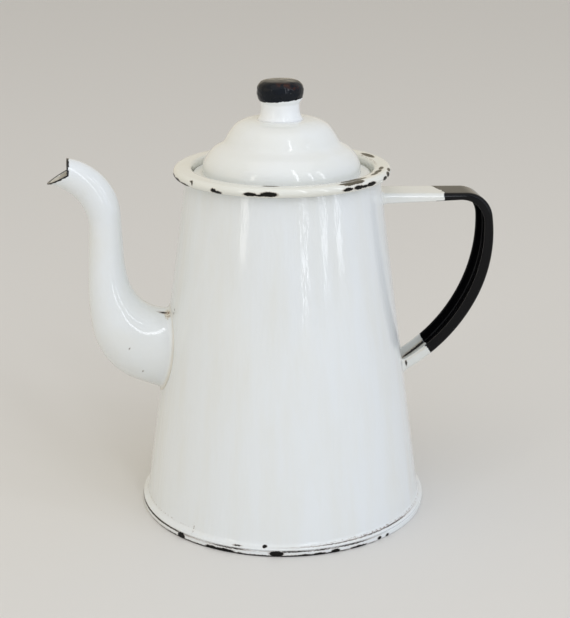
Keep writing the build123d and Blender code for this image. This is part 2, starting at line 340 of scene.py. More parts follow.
# Rows and columns are close together behind the spout, where the strainer is pierced
fine_heights = np.linspace(68, 100, 65)
heights = np.concatenate([np.linspace(8.4, 64.4, 15), fine_heights, np.linspace(104, wall_top[1], 19)])
wall_outside = np.stack([wall_radius(heights), heights], 1)
wall_inside = wall_outside[::-1] - (sheet, 0)
foot_inside = (wall_foot[0] - sheet, wall_foot[1])
flange_inside = [flange_inner_corner, (flange_inner_radius, flange_underside)]
wall_profile = np.vstack(
    [flange_edge, flare, wall_outside, top_edge, wall_inside, foot_inside, *flange_inside]
)
walked = lengths_round(wall_profile)
walked -= walked[len(flange_edge)]
fine = np.linspace(-strainer_half_width, strainer_half_width, 63)
fine_azimuths = 180 + np.degrees(np.arcsin(fine / wall_radius(strainer_height)))
coarse_azimuths = np.linspace(fine_azimuths[-1], fine_azimuths[0] + 360, 300)[1:-1]
azimuths = np.concatenate([fine_azimuths, coarse_azimuths])
azimuths = np.sort((azimuths - SEAM) % 360) + SEAM - 360
azimuths = np.append(azimuths, azimuths[0] + 360)
wall_points, wall_unrolled = revolved(wall_profile, azimuths, flange_radius, walked)

# Strainer: a hole in the middle and rings of holes round it
strainer_middle = (0.0, strainer_height)
hole_places = np.vstack(
    [strainer_middle]
    + [arc(strainer_middle, radius, 0, 360 - 360 / count, count) for radius, count in strainer_rings]
)


def from_holes(points):
    """Nearest hole of each point, as the offset from its middle across and up, and the distance."""
    offset = points[..., None, 1:] - hole_places
    distance = np.linalg.norm(offset, axis=-1)
    nearest = distance.argmin(-1)[..., None]
    offset = np.take_along_axis(offset, nearest[..., None], -2)[..., 0, :]
    return offset, np.take_along_axis(distance, nearest, -1)[..., 0]


rows = len(heights)
first_outside = len(flange_edge) + len(flare)
first_inside = first_outside + rows + len(top_edge)
outside = slice(first_outside, first_outside + rows)
inside = slice(first_inside, first_inside + rows)
spout_side = wall_points[:, outside, 0] < 0
within = (from_holes(wall_points[:, outside])[1] < hole_radius) & spout_side
hole_squares = corners(np.vstack([within, within[:1]])).all(2)
wall_gone = np.zeros((len(wall_points), len(wall_profile)), bool)
wall_gone[:, first_outside : first_outside + rows - 1] = hole_squares
wall_gone[:, first_inside : first_inside + rows - 1] = hole_squares[:, ::-1]
# Grid points just inside a hole move out to its edge, and none is taken as its very middle
near_middle = 0.05
for part in (outside, inside):
    block = wall_points[:, part]
    offset, distance = from_holes(block)
    pushed = (distance < hole_radius) & (block[..., 0] < 0)
    push = offset * (hole_radius / np.maximum(distance, near_middle) - 1)[..., None]
    block[..., 1:][pushed] += push[pushed]
# The cut faces of the sheet join the outside grid to the inside grid round each hole
grid = np.arange(wall_points.shape[0] * wall_points.shape[1]).reshape(wall_points.shape[:2])
grid = np.vstack([grid, grid[:1]])
grid_outside, grid_inside = grid[:, outside], grid[:, inside][:, ::-1]
padded = np.pad(hole_squares, 1)
hole_faces = []
for step_around, step_along in ((1, 0), (0, 1)):
    here = padded[1 : 1 + len(hole_squares) + step_around, 1 : rows + step_along]
    before = padded[1 - step_around :, 1 - step_along :][: here.shape[0], : here.shape[1]]
    for opened, other, flip in ((here, before, False), (before, here, True)):
        i, j = np.nonzero(opened & ~other)
        ends = ((i, j), (i + step_along, j + step_around))
        one, two = ends[::-1] if flip != bool(step_along) else ends
        face = [grid_outside[one], grid_outside[two], grid_inside[two], grid_inside[one]]
        hole_faces.append(np.stack(face, 1))
hole_faces = np.vstack(hole_faces)

# Chips on the flange: one round spot in front, a short line, hairline scratches and pinholes
wall_marks = [
    (-103.9, 0.9, 1.05, 0.85),
    (-114.6, -0.1, 1.6, 0.35),
    (-75, 0.3, 9.0, 0.12),
    (-60, 0.5, 7.0, 0.14),
    (-47, 0.6, 9.0, 0.16),
    (-167.3, 107.2, 0.35, 0.4),
    (-167.8, 105.2, 0.3, 0.3),
]
wall_marks = by_azimuth(flange_radius, wall_marks)
# Brown wear in the corner between wall and flange
wall_stains = [(-50, 1.2, 36.0, 0.5), (-135.2, 2.8, 0.5, 2.4), (-200, 2.9, 60.0, 0.5)]
wall_stains = by_azimuth(flange_radius, wall_stains)
wall_enamel = enamel("white_vitreous_enamel", enamel_white, enamel_yellowed, wall_marks, wall_stains)
body_wall = surface(
    "body_wall_enamelled",
    wall_points,
    wall_unrolled,
    "pot",
    wall_enamel,
    gone=wall_gone,
    extra=hole_faces,
)
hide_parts("body_wall")

# Bottom pan
# A shallow pressed disc turned down into the ring that the pot stands on, enamelled white.
# Its outer edge has been knocked on tables for years, and is chipped to black all along.
# Thin black lines along its upper edge, under the flange, are painted shadow in the joint.

pan_radius = 75.0
pan_corner = 0.5
pan_crease = 0.4
pan_halfway = 40.0
pan_foot_top = 0.7
pan_side_heights = np.linspace(0.9, 2.3, 6)
pan_floor = flange_underside - sheet
pan_profile = np.vstack(
    [
        (0.0, pan_floor),
        (pan_halfway, pan_floor),
        (pan_radius - sheet - pan_crease, pan_floor),
        (pan_radius - sheet, pan_floor - pan_crease),
        (pan_radius - sheet, pan_foot_top),
        arc((pan_radius - sheet / 2, sheet / 2), sheet / 2, 200, 350, 8),
        np.stack([np.full(6, pan_radius), pan_side_heights], 1),
        arc((pan_radius - pan_corner, flange_underside - pan_corner), pan_corner, 10, 90, 6),
        (flange_inner_radius, flange_underside),
        (pan_halfway, flange_underside),
        (0.0, flange_underside),
    ]
)
# The distance walked starts under the foot, so that on the outside it is nearly the height
pan_lowest = 9
walked = lengths_along(pan_profile)
walked -= walked[pan_lowest] - 0.1
pan_points, pan_unrolled = revolved(pan_profile, all_round(720), pan_radius, walked)
# Marks by azimuth, height, half width and half height: chips along the foot and its side, and painted
# shadow lines at its upper edge, under the flange
pan_chips_and_shade_lines = [
    (-140.0, 1.7, 2.5, 1.9),
    (-150.0, 0.0, 9.0, 0.35),
    (-112.0, 0.7, 50.0, 0.38),
    (-88.0, 0.7, 20.0, 0.42),
    (-131.5, 0.3, 4.0, 0.5),
    (-125.0, 1.3, 3.4, 0.8),
    (-119.8, 1.0, 5.6, 1.1),
    (-113.5, 0.5, 3.0, 0.8),
    # Painted shadow lines in the joint under the flange, along the upper edge
    (-157.0, 3.1, 24.0, 0.3),
    (-118.0, 3.1, 8.0, 0.25),
    (-70.0, 3.1, 9.0, 0.2),
    # Chips along the foot and its side
    (-109.0, 0.1, 4.0, 0.5),
    (-99.3, 2.1, 3.4, 1.4),
    (-103.8, 0.1, 3.5, 0.4),
    (-94.0, 0.2, 5.0, 0.6),
    (-88.5, 0.6, 2.4, 0.9),
    (-83.0, 0.7, 3.6, 0.9),
    (-76.6, 1.3, 2.2, 1.0),
    (-72.5, 0.2, 1.8, 0.4),
    (-66.7, 0.8, 4.6, 0.7),
    (-60.5, 0.3, 1.6, 0.4),
    (-56.5, 1.5, 1.3, 0.8),
    (-52.1, 1.3, 1.1, 0.75),
    # More painted shadow lines under the flange, along the upper edge
    (-93.0, 3.1, 9.0, 0.25),
    (-82.0, 3.1, 4.0, 0.25),
    (-190.0, 3.1, 42.0, 0.22),
]
pan_chips_and_shade_lines = by_azimuth(pan_radius, pan_chips_and_shade_lines)
pan_enamel = enamel("white_enamel_chipped_with_painted_shadow_lines", enamel_white, enamel_yellowed, pan_chips_and_shade_lines)
bottom_pan = surface("bottom_pan_enamelled", pan_points, pan_unrolled, "pot", pan_enamel, ends="poles")
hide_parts("bottom_pan")

# Mouth ring
# One strip of sheet bent into a collar, a seat for the lid, a recess wall, a ledge and a bead
# rolled round a wire. Its enamel is creamier, and the bead is chipped where it was knocked.

collar_middle = 41.6
collar_bottom = 167.0
seat_middle = 173.4
recess_middle = 46.1
bend_radius = 1.2
bead_middle = (52.0, 177.8)
bead_roll_radius = 1.8
bead_outer_radius = bead_roll_radius + sheet / 2
ledge_slope = 5.0
bead_roll = 245.0
bead_dip = 0.55
bead_bulge = 0.6
cream_white = "#E5E6DF"
cream_yellowed = "#D9D6C2"
ledge_rubbed = "#5A5548"


def right_of(line):
    """Offsets of half a sheet to the right of a line at each of its points, and its headings."""
    ahead = np.gradient(line, axis=0)
    ahead /= np.linalg.norm(ahead, axis=1)[:, None]
    return np.stack([ahead[:, 1], -ahead[:, 0]], 1) * sheet / 2, ahead


def sheet_profile(middle):
    """A closed outline half a sheet to each side of a line, with round ends.

    The right side runs forwards and the left side back, so it turns anticlockwise."""
    right, ahead = right_of(middle)
    first, last = (math.degrees(math.atan2(d[1], d[0])) for d in (ahead[0], ahead[-1]))
    end_cap = arc(middle[-1], sheet / 2, last - 60, last + 60, 4)
    start_cap = arc(middle[0], sheet / 2, first + 120, first + 240, 4)
    return np.vstack([middle + right, end_cap, (middle - right)[::-1], start_cap])


# The ledge rises outwards by its slope and runs straight into the top of the bead
slope = math.radians(ledge_slope)
roll_start = (
    bead_middle[0] - bead_roll_radius * math.sin(slope),
    bead_middle[1] + bead_roll_radius * math.cos(slope),
)
ledge_start_radius = recess_middle + bend_radius * (1 - math.sin(slope))
ledge_start_height = (
    bead_middle[1]
    + bead_roll_radius / math.cos(slope)
    - (bead_middle[0] - ledge_start_radius) * math.tan(slope)
)
quarter_bend = math.pi / 2 * bend_radius
recess_depth = ledge_start_height - bend_radius * math.cos(slope) - seat_middle - bend_radius
ring_moves = [
    (seat_middle - bend_radius - collar_bottom - sheet / 2, 0),
    (quarter_bend, -90),
    (recess_middle - collar_middle - 2 * bend_radius, 0),
    (quarter_bend, 90),
    (recess_depth, 0),
    (math.radians(90 - ledge_slope) * bend_radius, ledge_slope - 90),
    ((roll_start[0] - ledge_start_radius) / math.cos(slope), 0),
    (math.radians(bead_roll) * bead_roll_radius, -bead_roll),
]
ring_middle = trail((collar_middle, collar_bottom + sheet / 2), 90, ring_moves, step=0.5)
ring_profile = sheet_profile(ring_middle)
# The unrolled place starts at the top of the bead and grows outwards and down round it
ledge_end = int(np.argmin(np.hypot(*(ring_middle - roll_start).T)))
top_index = len(ring_middle) + 4 + len(ring_middle) - 1 - ledge_end
walked = lengths_round(ring_profile)
walked = walked[top_index] - walked
ring_reference = bead_middle[0] + bead_outer_radius
ring_points, ring_unrolled = revolved(ring_profile, all_round(640), ring_reference, walked)
# Use has worn the bead a little out of round: it dips and bulges on the spout side
ring_angle = np.arctan2(ring_points[..., 1], ring_points[..., 0])
towards_spout = (0.5 - 0.5 * np.cos(ring_angle)) ** 2
worn_from, worn_width = 47, 5
outer_share = (np.hypot(ring_points[..., 0], ring_points[..., 1]) - worn_from) / worn_width
outer_share = np.clip(outer_share, 0, 1)
ring_points[..., 2] -= bead_dip * towards_spout * outer_share
ring_points[..., 0] -= bead_bulge * towards_spout * outer_share


def on_bead(azimuth, tube_angle, half_across, half_round):
    """A mark on the bead: its azimuth, its angle round the bead above outwards, and half sizes."""
    down = math.radians(90 + ledge_slope - tube_angle) * bead_outer_radius
    return (azimuth, down, half_across, half_round)


def on_ledge(azimuth, radius, half_across, half_in):
    """A mark on the flat ledge: its azimuth, radius and half sizes."""
    return (azimuth, radius - roll_start[0], half_across, half_in)


ring_marks = [
    on_bead(-175, -8, 3.6, 0.75),
    on_bead(-167, -22, 4.4, 0.95),
    on_bead(-158, -37, 4.2, 0.8),
    on_bead(-150.2, 34, 1.0, 0.45),
    on_bead(-149.2, 14, 0.5, 0.8),
    on_bead(-133.4, -14, 1.7, 1.0),
    on_bead(-130.8, -32, 1.9, 0.9),
    on_bead(-112.8, -14, 3.1, 0.95),
    on_bead(-103.6, -7, 3.9, 1.3),
    on_bead(-108.0, -22, 3.0, 0.5),
    on_bead(-62, -6, 2.8, 0.85),
    on_bead(-55, -3, 2.9, 1.0),
    on_bead(-50.5, -8, 2.0, 0.7),
    on_bead(-45.2, -1, 3.6, 1.05),
    on_bead(-63, 74, 3.0, 0.7),
    on_ledge(-58, 49.5, 4.6, 1.9),
    on_ledge(-52, 49.3, 4.8, 2.1),
    on_ledge(-47, 49.8, 3.0, 1.0),
    on_bead(-60, 66, 3.8, 1.2),
    on_bead(-54, 70, 3.8, 1.3),
    on_ledge(-103.8, 48.2, 4.0, 1.2),
    on_bead(-30, -2, 2.6, 0.9),
    on_bead(-24, 20, 2.4, 1.3),
    on_bead(-18, 50, 2.6, 0.9),
    on_ledge(-33, 49.8, 3.4, 1.1),
    on_ledge(-26, 49.6, 4.2, 1.3),
    on_ledge(-17, 49.6, 3.6, 1.0),
    on_ledge(20, 49.6, 6.5, 1.5),
    on_bead(30, 10, 6.0, 0.8),
    on_bead(62, -10, 4.0, 0.7),
    on_bead(118, 0, 7.0, 0.9),
    on_bead(150, 12, 3.0, 0.6),
]
# Brown speckled patches at the inner edge of the ledge: partly wear, partly painted shade in the gap down
# to the lid
ring_stains_and_shade = [
    on_ledge(-45, 46.9, 18.0, 0.7),
    on_ledge(-106, 46.4, 9.0, 0.4),
    on_ledge(10, 47.0, 20.0, 0.6),
]
cream_enamel = enamel(
    "cream_enamel_chipped_bead",
    cream_white,
    cream_yellowed,
    by_azimuth(ring_reference, ring_marks),
    by_azimuth(ring_reference, ring_stains_and_shade),
    drained=False,
    rubbed=ledge_rubbed,
)
mouth_ring = surface("mouth_ring_enamelled", ring_points, ring_unrolled, "pot", cream_enamel)
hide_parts("mouth_ring")

# Rim wire
# Plain drawn steel wire inside the rolled bead, which the sheet is closed round.
# Only a dark grey line of it shows through the gap under the roll.

wire_grey = "#5C5955"
wire_line_pitch = 0.8
wire_roughness = {"To Min": 0.3, "To Max": 0.6}
drawn_steel, tree = new_material("drawn_steel_wire")
here = node(tree, "TexCoord").outputs["Object"]
lines = node(tree, "TexNoise", {"Vector": here, "Scale": 1 / (wire_line_pitch * MM), "Detail": 2.0})
roughness = node(tree, "MapRange", {"Value": lines, **wire_roughness})
steel = {"Base Color": linear(wire_grey), "Metallic": 1.0, "Roughness": roughness}
node(tree, "OutputMaterial", {"Surface": node(tree, "BsdfPrincipled", steel)})
rim_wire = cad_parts["rim_wire"]
rim_wire.data.materials.clear()
rim_wire.data.materials.append(drawn_steel)

# Spout
# A gooseneck of two pressed halves welded along the plane of symmetry, set on the wall with a
# bead of enamel in the corner. Its mouth is cut off straight, then sloped down to the tip.

lower_outline = ((-52.0, 60.1), 159.0, 25.1, [(35.7, 61.4), (137.0, 10.6)], 26.5, (22.8, 111.5))
upper_outline = ((-50.0, 106.8), 182.8, 8.0, [(20.2, 76.3), (58.0, 14.1)], 22.3, (30.4, 109.0))
# Stations along the spout: distances along the lower and the upper outline, and the half width
spout_sections = [
    (0.0, 0.0, 17.6),
    (18.0, 9.0, 17.5),
    (31.0, 15.0, 17.3),
    (42.0, 21.0, 16.6),
    (52.0, 27.5, 15.2),
    (63.4, 35.0, 12.9),
    (76.0, 42.0, 11.2),
    (88.8, 49.0, 10.1),
    (102.0, 60.0, 9.0),
    (115.3, 71.4, 8.2),
    (122.0, 80.0, 8.2),
    (128.5, 88.5, 8.1),
    (135.0, 97.0, 7.9),
    (141.5, 105.5, 7.6),
    (148.0, 114.0, 7.3),
    (154.0, 122.0, 7.0),
    (159.5, 129.0, 6.8),
]
mouth_cut = -107.1
mouth_notch = 178.9
mouth_tip = (-117.2, 173.4)
spout_weld = 2.4
spout_weld_fill = 0.75
seam_height = 0.12
seam_width = 0.9
spout_reference = 9.0
lip_gap = 10.0
bare_lip = 0.25
bare_pitch = 1.6


def smooth_through(points, per_span, first_way=None, last_way=None):
    """A smooth line through points: between two of them a cubic leaves and arrives along the
    line joining their neighbours, and at the ends along the given ways."""
    points = np.array(points, float)
    place = lengths_along(points)
    ways = np.gradient(points, place, axis=0)
    if first_way is not None:
        ways[0] = first_way
    if last_way is not None:
        ways[-1] = last_way
    share = np.tile(np.arange(per_span) / per_span, len(points) - 1)[:, None]
    span = np.repeat(np.arange(len(points) - 1), per_span)
    width = np.diff(place)[span][:, None]
    line = (
        (1 + 2 * share) * (1 - share) ** 2 * points[span]
        + share * (1 - share) ** 2 * width * ways[span]
        + share**2 * (3 - 2 * share) * points[span + 1]
        + share**2 * (share - 1) * width * ways[span + 1]
    )
    return np.vstack([line, points[-1]])


def gooseneck(start, heading, root_run, bends, riser_run, neck):
    """One outline of the spout: a straight root, bends upwards, a riser and the neck's bend."""
    moves = [(root_run, 0)]
    moves += [(radius * math.radians(turn), -turn) for radius, turn in bends]
    moves += [(riser_run, 0), (neck[0] * math.radians(neck[1]), neck[1])]
    return trail(start, heading, moves)


def point_at(line, distance):
    """Points of a line at distances along it, carried on straight beyond its end."""
    place = lengths_along(line)
    last = (line[-1] - line[-2]) / (place[-1] - place[-2])
    beyond = np.maximum(distance - place[-1], 0)[:, None] * last
    return np.stack([np.interp(distance, place, line[:, k]) for k in (0, 1)], 1) + beyond


def crossing(values):
    """Where each column of values first rises above nought, as a fractional row."""
    row = np.maximum(np.argmax(values > 0, axis=0), 1)
    low = np.take_along_axis(values, row[None] - 1, 0)[0]
    high = np.take_along_axis(values, row[None], 0)[0]
    return row - 1 + low / (low - high)


def between(lines, first, last, shares):
    """Lengthwise lines (rows, columns, 3) sampled again between two fractional rows."""
    row = first + (last - first) * shares[:, None]
    whole = np.clip(np.floor(row).astype(int), 0, len(lines) - 2)
    part = (row - whole)[..., None]
    low = np.take_along_axis(lines, whole[..., None], 0)
    high = np.take_along_axis(lines, whole[..., None] + 1, 0)
    return low + part * (high - low)


stations = smooth_through(spout_sections, 14)
spout_low = point_at(gooseneck(*lower_outline), stations[:, 0])
spout_high = point_at(gooseneck(*upper_outline), stations[:, 1])
spout_middle = (spout_low + spout_high) / 2
spout_up = (spout_high - spout_low) / 2
spout_rise = np.linalg.norm(spout_up, axis=1)
full_turn = np.linspace(0, 2 * math.pi, 181)
spout_turn = full_turn[:-1]


def oval_tube(inset):
    """Lengthwise lines of the spout's skin: at each station an oval between its two outlines."""
    rise = 1 - inset / spout_rise[:, None]
    wide = stations[:, 2:3] - inset
    x = spout_middle[:, :1] + spout_up[:, :1] * rise * np.cos(spout_turn)
    z = spout_middle[:, 1:] + spout_up[:, 1:] * rise * np.cos(spout_turn)
    return np.stack([x, wide * np.sin(spout_turn), z], -1)


def past_mouth(lines):
    """Positive where a point lies beyond the mouth: outside the cut and above the slope."""
    slope = (mouth_notch - mouth_tip[1]) / (mouth_cut - mouth_tip[0])
    x, z = lines[..., 0], lines[..., 2]
    over_slope = (z - mouth_notch - (x - mouth_cut) * slope) / math.hypot(1, slope)
    return np.maximum(np.minimum(mouth_cut - x, over_slope), mouth_tip[0] - x)


def past_wall(lines, sunk):
    """Positive where a point lies outside the wall, less the depth that a root is sunk into it."""
    return np.hypot(lines[..., 0], lines[..., 1]) - wall_radius(lines[..., 2]) + sunk


def unit_normals(lines):
    """Directions square to a skin of lengthwise lines, out or in as the lines run round it."""
    around = np.roll(lines, -1, 1) - np.roll(lines, 1, 1)
    normal = np.cross(around, np.gradient(lines, axis=0))
    return normal / np.linalg.norm(normal, axis=-1)[..., None]


def corner_filled(lines, normal, radius, fill):
    """A skin moved out near the wall by a share of the hollow curve that fills the corner."""
    from_wall = np.clip(past_wall(lines, 0), 0, radius)
    hollow = radius - np.sqrt(radius**2 - (radius - from_wall) ** 2)
    return lines + normal * (fill * hollow)[..., None]


spout_shares = np.concatenate([np.linspace(0, 0.04, 22)[:-1], np.linspace(0.04, 1, 150)])
skins = []
for inset in (0.0, sheet):
    tube = oval_tube(inset)
    first = crossing(past_wall(tube, sheet / 2))
    last = crossing(past_mouth(tube))
    skins.append(between(tube, first, last, spout_shares))
outer_skin, inner_skin = skins
skin_normal = unit_normals(outer_skin)
outwards = outer_skin - outer_skin.mean(1)[:, None]
skin_normal *= np.sign(np.sum(skin_normal * outwards, -1))[..., None]
outer_skin = corner_filled(outer_skin, skin_normal, spout_weld, spout_weld_fill)
# The weld shows as a faint ridge along the plane of symmetry, below
ridge = np.exp(-((outer_skin[..., 1] / seam_width) ** 2)) * (np.cos(spout_turn) < 0)
outer_skin = outer_skin + skin_normal * (seam_height * ridge)[..., None]
spout_points = np.vstack([outer_skin, inner_skin[::-1]]).transpose(1, 0, 2)
spout_walk = lengths_along(outer_skin.mean(1))
spout_length = spout_walk[-1]
inner_walk = spout_length + lip_gap + spout_walk
spout_walk = np.concatenate([spout_walk, inner_walk, [inner_walk[-1] + lip_gap]])
spout_unrolled = places(full_turn * spout_reference, spout_walk)
below = math.pi * spout_reference
above = 2 * below
# Pinholes on the riser and the root, and brown in the corner at the wall
spout_marks = [
    (below + 13.0, 22.0, 0.12, 0.12),
    (below + 9.0, 11.0, 0.12, 0.12),
    (above - 2.6, 7.0, 0.26, 2.6),
]
spout_stains = [(above - 3.4, 3.6, 1.6, 2.4)]
spout_filled = [
    (below, 0.4, 60.0, 0.5),
    (above - 3.0, 3.6, 1.8, 2.6),
    (below + 1.6, 26.0, 0.8, 24.0),
    (below, spout_length + 19.0, 60.0, 9.0),
]


def bare_mouth(material, length):
    """Adds the worn black edge of the mouth: the cover coat ends short of the cut face.

    The black shows past the outline's length, broken by noise, on the near lip and the cut."""
    tree = material.node_tree
    shader = tree.nodes["Principled BSDF"]
    coat = shader.inputs["Base Color"].links[0].from_socket
    unrolled = node(tree, "UVMap", uv_map="unrolled")
    along = node(tree, "SeparateXYZ", {0: unrolled}).outputs["Y"]
    here = node(tree, "TexCoord").outputs["Object"]
    grain = node(tree, "TexNoise", {"Vector": here, "Scale": 1 / (bare_pitch * MM), "Detail": 3.0})
    reach = node(tree, "Math", {0: grain, 1: bare_pitch, 2: along}, operation="MULTIPLY_ADD")
    outside_span = {"From Min": length - 0.1, "From Max": length + 0.05}
    inside_span = {"From Min": length + lip_gap + 0.6, "From Max": length + lip_gap + 0.3}
    outside = node(tree, "MapRange", {"Value": reach, **outside_span})
    inside = node(tree, "MapRange", {"Value": along, **inside_span})
    bare = node(tree, "Math", {0: outside, 1: inside}, operation="MULTIPLY")
    worn = node(tree, "Mix", {0: bare, 6: coat, 7: linear(ground_black)}, data_type="RGBA")
    tree.links.new(worn.outputs[2], shader.inputs["Base Color"])


spout_enamel = enamel(
    "white_enamel_of_the_spout",
    enamel_white,
    enamel_yellowed,
    spout_marks,
    spout_stains,
    spout_filled,
    drained=False,
    ragged=0.25,
)
bare_mouth(spout_enamel, spout_length - bare_lip)
spout = surface("spout_enamelled", spout_points, spout_unrolled, "pot", spout_enamel)
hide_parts("spout_near_half", "spout_far_half")

# Handle
# A strap pressed into a channel that is open towards the fingers, joined to the wall at both
# roots and enamelled with the pot. The grip was then dipped in black, with ragged ends.

outer_arm = ((44.0, 165.8), (93.2, 164.7))
outer_arcs = [(14.4, 79.5), (74.5, 34.6), (88.6, 44.3)]
inner_arm = ((44.0, 160.5), (89.7, 161.4))
inner_arcs = [(12.9, 87.2), (77.0, 29.4), (80.5, 41.9)]
strap_rounding = 2.0
strap_widths = [(9.7, 170.0), (10.2, 128.0), (7.1, 55.0)]
strap_lip = 0.35
root_weld = 2.2
root_weld_fill = 0.5
grip_middle = (72, 0, 125)
handle_white = "#E1E3DF"
handle_yellowed = "#DCDACC"
# Where the dip starts and ends, along the strap from its upper root, and how far the start slants
dip_start = 31.5
dip_slant = 5.2
dip_end = 148.5


def strap_outline(arm, arcs):
    """One side outline of the strap, and the distance along it where each part ends."""
    run = math.dist(*arm)
    heading = math.degrees(math.atan2(arm[1][1] - arm[0][1], arm[1][0] - arm[0][0]))
    moves = [(run, 0)] + [(radius * math.radians(turn), -turn) for radius, turn in arcs]
    return trail(arm[0], heading, moves), np.concatenate([[0], np.cumsum([m[0] for m in moves])])


outer_line, outer_ends = strap_outline(outer_arm, outer_arcs)
inner_line, inner_ends = strap_outline(inner_arm, inner_arcs)
pairs = smooth_through(np.stack([outer_ends, inner_ends], 1), 70)
strap_outer = point_at(outer_line, pairs[:, 0])
strap_inner = point_at(inner_line, pairs[:, 1])
strap_chord = strap_inner - strap_outer
strap_depth = np.linalg.norm(strap_chord, axis=1)
strap_way = strap_chord / strap_depth[:, None]
# The half width follows the circle through three points of the front outline
system = np.array([[y, z, 1.0] for y, z in strap_widths])
circle = np.linalg.solve(system, [y * y + z * z for y, z in strap_widths])
circle_y, circle_z = circle[0] / 2, circle[1] / 2
circle_radius = math.sqrt(circle[2] + circle_y**2 + circle_z**2)


def channel_half(inset, rounding):
    """Half of a channel section from the middle of its back to its free edge.

    Four rows give each point's place: across as a share of the half width plus an offset, and
    inwards as a share of the depth plus an offset."""
    corner = np.radians(np.linspace(90, 0, 8))
    flat = np.linspace(0, 1, 7)[:-1]
    drop = np.linspace(0, 1, 7)[1:]
    across_corner = -inset - rounding + rounding * np.cos(corner)
    depth_corner = inset + rounding - rounding * np.sin(corner)
    depth_side = (1 - drop) * (inset + rounding) - drop * strap_lip
    across_share = np.concatenate([flat, np.ones(14)])
    across_offset = np.concatenate([-flat * (inset + rounding), across_corner, np.full(6, -inset)])
    depth_share = np.concatenate([np.zeros(14), drop])
    depth_offset = np.concatenate([np.full(6, inset), depth_corner, depth_side])
    return np.stack([across_share, across_offset, depth_share, depth_offset])


# The section runs over the back, round the far lip, through the hollow and round the near lip
back = channel_half(0.0, strap_rounding)
hollow = channel_half(sheet, strap_rounding - sheet)
lip = np.stack([np.ones(3), [-0.15, -0.6, -1.05], np.ones(3), [-0.05, 0.0, -0.05]])
mirror = np.array([[-1], [-1], [1], [1]])
near_back, near_hollow, near_lip = back * mirror, hollow * mirror, lip * mirror
section = np.hstack(
    [near_back[:, ::-1], back[:, 1:], lip, hollow[:, ::-1], near_hollow[:, 1:], near_lip[:, ::-1]]
)
spine = back.shape[1] - 1
hollow_middle = 3 * spine + 4
depth = section[2] * strap_depth[:, None] + section[3]
strap_x = strap_outer[:, :1] + strap_way[:, :1] * depth
strap_z = strap_outer[:, 1:] + strap_way[:, 1:] * depth
half_width = circle_y + np.sqrt(circle_radius**2 - (strap_z - circle_z) ** 2)
strap_y = section[0] * half_width + section[1]
strap_lines = np.stack([strap_x, strap_y, strap_z], -1)
middle_row = len(strap_lines) // 2
strap_first = crossing(past_wall(strap_lines[:middle_row], sheet / 2))
backwards = strap_lines[::-1]
strap_last = len(strap_lines) - 1 - crossing(past_wall(backwards[:middle_row], sheet / 2))
root_shares = np.linspace(0, 0.03, 10)[:-1]
strap_shares = np.concatenate([root_shares, np.linspace(0.03, 0.97, 260), 1 - root_shares[::-1]])
strap_lines = between(strap_lines, strap_first, strap_last, strap_shares)
strap_normal = unit_normals(strap_lines)
back_outwards = strap_lines[:, spine : spine + 1] - grip_middle
side = np.sign(np.sum(strap_normal[:, spine : spine + 1] * back_outwards, -1))[..., None]
strap_lines = corner_filled(strap_lines, strap_normal * side, root_weld, root_weld_fill)
# The ends close inside the wall, on the middle line of the sheet
count = strap_lines.shape[1]
partner = (hollow_middle + spine - np.arange(count)) % count
closing = (strap_lines + strap_lines[:, partner]) / 2
strap_lines = np.vstack([closing[:1], strap_lines, closing[-1:]])
strap_points = strap_lines.transpose(1, 0, 2)
across_walk = lengths_round(strap_lines[middle_row])
across_walk -= across_walk[spine]
strap_unrolled = places(across_walk, lengths_along(strap_lines[:, spine]))
# Black enamel of a second dip, thin and worn, so that it mirrors less than the white. Its edge
# stands up a little and has a grey rim, and its noise has a pitch in millimetres.
black_enamel = "#0B0B0D"
worn_blue = "#8F959B"
rubbed_brown = "#4A2A1E"
black_mirror = {"To Min": enamel_mirror, "To Max": 0.15}
dip_depth = 0.15
dip_pitch = 2.6
rubbed_outline = {"From Min": 1.0, "From Max": -1.2}
rubbed_patches = {"From Min": 0.42, "From Max": 0.6}
lump_pitch = 4.0


